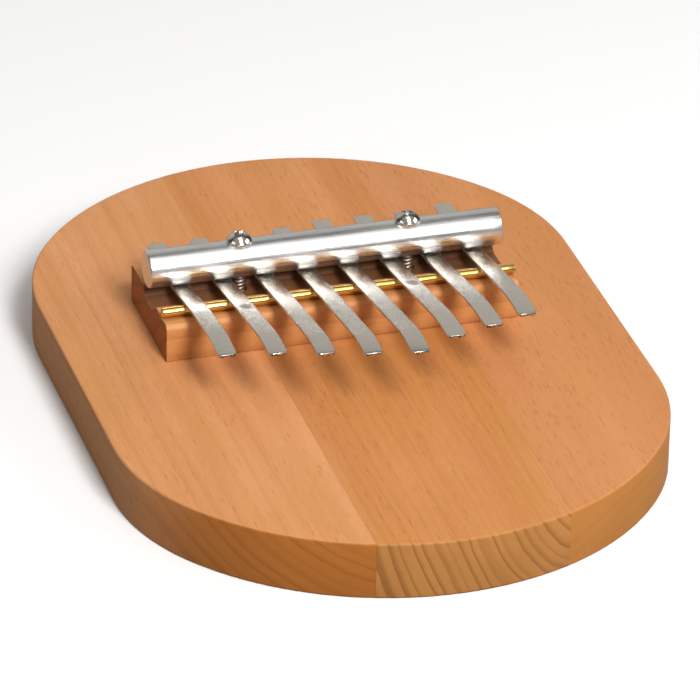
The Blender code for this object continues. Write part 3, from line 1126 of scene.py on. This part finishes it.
def turned_bar(low, high, ease, waver):
    """A round bar along X that fills a box, with eased ends."""
    middle = (low + high) / 2
    radius = (high.y - low.y) / 2
    stations = []
    for inset, rise in quarter(ease)[::-1]:
        stations.append((low.x + ease - rise, radius - inset))
    for i in range(1, STOCK_LENGTHS):
        x = low.x + ease + (high.x - low.x - 2 * ease) * i / STOCK_LENGTHS
        sway = waver * sum(math.sin(x / MM * pace + start) for pace, start in WAVES) / len(WAVES)
        stations.append((x, radius - abs(sway)))
    for inset, rise in quarter(ease):
        stations.append((high.x - ease + rise, radius - inset))
    rings = []
    for x, ring_radius in stations:
        rings.append([(x, *point) for point in circle(middle.y, middle.z, ring_radius, STOCK_AROUND)])
    return loft_rings(rings)


def round_stock(name, node, ease, waver, material, drilled=False):
    piece = piece_from(turned_bar(*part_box(node), ease, waver), name, material)
    if drilled:
        drill_for_screws(piece)
    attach(piece, "board")
    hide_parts(node)
    return piece


rod = round_stock(
    "brass_fret",
    "bridge_rod",
    ease=0.2 * MM,
    waver=0.004 * MM,
    material=brass,
)
bar = round_stock(
    "pressure_bar",
    "clamp_bar",
    ease=0.45 * MM,
    waver=0.006 * MM,
    material=aluminium,
    drilled=True,
)
for piece in (rod, bar):
    describe(piece)

# %% [markdown]
# ## The two clamp screws
#
# Each screw is a plated pan-head screw with a cross recess. The head is turned from its profile and the
# recess is a tapered cross cut out of it. The thread shows in the gap between the bar and the block, and
# it is a real helix: rings are stacked up the shank, and each point of a ring stands out or in by
# how far round and how high it is, so that the ridge climbs one pitch in each turn.

# %% Make the screws
THREAD_PITCH = 1.0 * MM
THREAD_DEPTH = 0.28 * MM
THREAD_ROWS = 8
SHANK_AROUND = 40
HEAD_AROUND = 72
SHANK_RADIUS = 1.75 * MM
SHANK_IN_HEAD = 0.3 * MM
RIDGE_HEIGHT = 1.25
POINT_LENGTH = 3.5 * MM
BLUNT_POINT = 0.12
PLAIN_NECK = 1.0 * MM
RECESS_TURNS = {"left": 25, "right": 70}
RECESS_DEPTH = 1.45 * MM
RECESS_REACH = 1.75 * MM
RECESS_WIDTH = 0.8 * MM
LEAST_ARM = 1.05
# (share of the reach, share of the width, depth below the crown), from the bottom of the recess upwards.
RECESS_LEVELS = (
    (0.16, 0.45, RECESS_DEPTH),
    (0.55, 0.75, RECESS_DEPTH * 0.6),
    (1.0, 1.0, 0.05 * MM),
    (1.0, 1.0, -1 * MM),
)
# Millimetres (in from the rim, up from the seat), then (in from the rim, down from the dome's foot).
HEAD_UNDERSIDE = ((0.18, 0.0), (0.05, 0.06), (0.0, 0.2))
HEAD_SHOULDER = ((0.0, 0.08), (0.03, 0.0))
HEAD_RIM_SHARE = 0.24
UNDERSIDE_SHARE = 0.4
DOME_INSET = 0.08 * MM
DOME_STEPS = 16
CROWN_RADIUS = 0.02 * MM


def threaded_shank(x, y, low, high):
    """A screw's shank with a helical thread, pointed at its lower end and plain under its head."""
    rows = round((high - low) / THREAD_PITCH * THREAD_ROWS)
    rings = []
    for row in range(rows + 1):
        z = low + (high - low) * row / rows
        taper = min(1.0, BLUNT_POINT + (z - low) / POINT_LENGTH)
        plain = min(1.0, max(0.0, (high - z) / PLAIN_NECK - 1))
        ring = []
        for i in range(SHANK_AROUND):
            turn = i / SHANK_AROUND
            phase = (z / THREAD_PITCH - turn) % 1
            ridge = 1 - abs(2 * phase - 1)
            groove = THREAD_DEPTH * (1 - min(1.0, ridge * RIDGE_HEIGHT)) * plain
            radius = (SHANK_RADIUS - groove) * taper
            angle = 2 * math.pi * turn
            ring.append((x + radius * math.cos(angle), y + radius * math.sin(angle), z))
        rings.append(ring)
    return loft_rings(rings)


def head_profile(radius, seat, top):
    """(radius, height) pairs of a pan head, from its underside to its crown."""
    rim = seat + (top - seat) * HEAD_RIM_SHARE
    profile = [(radius * UNDERSIDE_SHARE, seat)]
    profile += [(radius - inset * MM, seat + rise * MM) for inset, rise in HEAD_UNDERSIDE]
    profile += [(radius - inset * MM, rim - drop * MM) for inset, drop in HEAD_SHOULDER]
    dome_height = top - rim
    dome_base = radius - DOME_INSET
    dome_radius = (dome_base**2 + dome_height**2) / (2 * dome_height)
    widest = math.asin(dome_base / dome_radius)
    for i in range(DOME_STEPS):
        a = widest * (1 - i / DOME_STEPS)
        profile.append((dome_radius * math.sin(a), top - dome_radius * (1 - math.cos(a))))
    profile.append((CROWN_RADIUS, top))
    return profile


def cross_cutter(x, y, top, degrees):
    """A tapered cross, deeper at its middle, for a screwdriver's tip."""
    rings = []
    for reach_share, width_share, depth in RECESS_LEVELS:
        half = RECESS_WIDTH / 2 * width_share
        far = max(RECESS_REACH * reach_share, half * LEAST_ARM)
        ring = []
        for quarter_turn in range(4):
            turn = Matrix.Rotation(quarter_turn * math.pi / 2, 2)
            for corner in ((far, -half), (far, half), (half, half)):
                ring.append((*(turn @ Vector(corner)), top - depth))
        rings.append(ring)
    cutter = object_from(loft_rings(rings), "recess")
    cutter.location = (x, y, 0)
    cutter.rotation_euler.z = math.radians(degrees)
    return cutter


def clamp_screw(side):
    low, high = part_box(SCREW_NODES[side])
    middle = (low + high) / 2
    seat = bar_high.z
    rings = []
    for radius, z in head_profile((high.x - low.x) / 2, seat, high.z):
        rings.append([(*point, z) for point in circle(middle.x, middle.y, radius, HEAD_AROUND)])
    head = piece_from(loft_rings(rings), f"screw_head_{side}", nickel)
    carved(head, cross_cutter(middle.x, middle.y, high.z, RECESS_TURNS[side]))
    thread = threaded_shank(middle.x, middle.y, low.z, seat + SHANK_IN_HEAD)
    shank = piece_from(thread, f"screw_thread_{side}", reflection_thread)
    for piece in (head, shank):
        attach(piece, f"screw_{side}")
    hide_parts(SCREW_NODES[side])
    return head, shank


for side in SCREW_NODES:
    for piece in clamp_screw(side):
        describe(piece)

# %% [markdown]
# ## The eight tines
#
# A tine is one strip of spring steel. In the mechanical model it has two parts, a clamped root and a free
# tongue, joined by a hinge over the rod. The strip shown is a single piece through both. Its middle line
# is read from the parts: the corners of each part come in pairs, one on the upper face and one straight
# below it on the lower face, and the middle of a pair is a point of the line.
#
# The corners of the rounded ends lie close together, so a pair counts only if its points are as far apart
# as the strip is thick, to within a few micrometres.

# %% Read the tines' middle lines
PAIR_SLACK = 0.004 * MM


def side_points(node):
    """The different (y, z) places of a CAD strip's corners, from front to back."""
    points = {}
    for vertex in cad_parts[node].data.vertices:
        points[round(vertex.co.y / SAME_POINT), round(vertex.co.z / SAME_POINT)] = Vector(vertex.co.yz)
    return sorted(points.values(), key=lambda point: point.x)


def strip_stations(node):
    """The (y, z) middle points of a CAD strip, with the upright direction at each, from front to back."""
    points = side_points(node)
    stations = []
    for i, first in enumerate(points):
        for second in points[i + 1 :]:
            lower, upper = sorted((first, second), key=lambda point: point.y)
            across = upper - lower
            if abs(across.length - tine_thickness) < PAIR_SLACK and across.y > abs(across.x):
                stations.append(((lower + upper) / 2, across.normalized()))
    return sorted(stations, key=lambda station: station[0].x)


def end_thickness(node):
    """The strip's thickness, measured at the end of its tail."""
    first, second = side_points(node)[-2:]
    return (second - first).length


tine_thickness = end_thickness("tine_1_root")
for number in range(1, TINE_COUNT + 1):
    found = len(strip_stations(f"tine_{number}_tongue")), len(strip_stations(f"tine_{number}_root"))
    print(f"tine {number}: {found[0]} + {found[1]} stations, {tine_thickness / MM:.2f} mm thick")

# %% [markdown]
# ## A strip along each line
#
# The strip's section is a flat bar with rolled edges. It is swept along a smooth curve through the points,
# and both ends have rounded corners and eased edges, as a strip has that was sheared and tumbled. The rows
# of the sweep stand closer together where the corners are round.

# %% Sweep the tines
EDGE_ROLL = 0.26 * MM
END_CORNER = 0.9 * MM
END_EASE = 0.12 * MM
END_STEPS = 7
ROLL_STEPS = 3
MOST_ROLL = 0.9
STEP_ALONG = 0.9 * MM


def forward_of(up):
    """The direction along the strip, towards its tail, for an upright (y, z) direction."""
    return Vector((up.y, -up.x))


def smooth_line(stations):
    """(place, upright) rows close together on a smooth curve through the stations."""
    rows = []
    for (here, up), (there, next_up) in zip(stations, stations[1:]):
        reach = (there - here).length
        leave = forward_of(up) * reach
        arrive = forward_of(next_up) * reach
        steps = max(1, math.ceil(reach / STEP_ALONG))
        for step in range(steps):
            t = step / steps
            place = curve_point(here, leave, there, arrive, t)
            rows.append((place, up.lerp(next_up, t).normalized()))
    rows.append(stations[-1])
    return rows


def spaced_rows(rows):
    """(place, upright, distance to the nearer end) rows, closer together where the corners are round."""
    marks = [0.0]
    for (here, _), (there, _) in zip(rows, rows[1:]):
        marks.append(marks[-1] + (there - here).length)
    total = marks[-1]
    ends = [END_CORNER * (1 - math.cos(math.pi / 2 * i / END_STEPS)) for i in range(END_STEPS)]
    straight = total - 2 * END_CORNER
    count = math.ceil(straight / STEP_ALONG)
    body = [END_CORNER + straight * i / count for i in range(count + 1)]
    result = []
    index = 0
    for distance in ends + body + [total - end for end in reversed(ends)]:
        while index < len(marks) - 2 and marks[index + 1] < distance:
            index += 1
        (here, up), (there, next_up) = rows[index], rows[index + 1]
        t = (distance - marks[index]) / (marks[index + 1] - marks[index])
        place = here.lerp(there, t)
        result.append((place, up.lerp(next_up, t).normalized(), min(distance, total - distance)))
    return result


def strip_section(half_width, half_thickness):
    """(across, up) points of a flat bar with rolled edges, counter-clockwise."""
    roll = min(EDGE_ROLL, half_thickness * MOST_ROLL)
    points = []
    corners = ((1, -1, -90), (1, 1, 0), (-1, 1, 90), (-1, -1, 180))
    for side, level, first in corners:
        centre = Vector((side * (half_width - roll), level * (half_thickness - roll)))
        for step in range(ROLL_STEPS + 1):
            angle = math.radians(first + 90 * step / ROLL_STEPS)
            points.append(centre + Vector((math.cos(angle), math.sin(angle))) * roll)
    return points


def round_loss(radius, to_end):
    """How far a side has come in, at a distance from the end that is rounded over by radius."""
    before = max(0.0, radius - to_end)
    return radius - math.sqrt(radius**2 - before**2)


def tine(number):
    low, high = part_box(f"tine_{number}_root")
    middle_x = (low.x + high.x) / 2
    half_width = (high.x - low.x) / 2
    half_thickness = tine_thickness / 2
    stations = strip_stations(f"tine_{number}_tongue") + strip_stations(f"tine_{number}_root")
    rings = []
    for place, up, to_end in spaced_rows(smooth_line(stations)):
        width = half_width - round_loss(END_CORNER, to_end)
        thickness = half_thickness - round_loss(END_EASE, to_end)
        section = strip_section(width, thickness)
        rings.append([(middle_x + across, *(place + up * rise)) for across, rise in section])
    piece = piece_from(loft_rings(rings), f"mbira_tine_{number}", spring_steel)
    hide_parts(f"tine_{number}_root", f"tine_{number}_tongue")
    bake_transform(piece)
    return piece


for number in range(1, TINE_COUNT + 1):
    describe(tine(number))
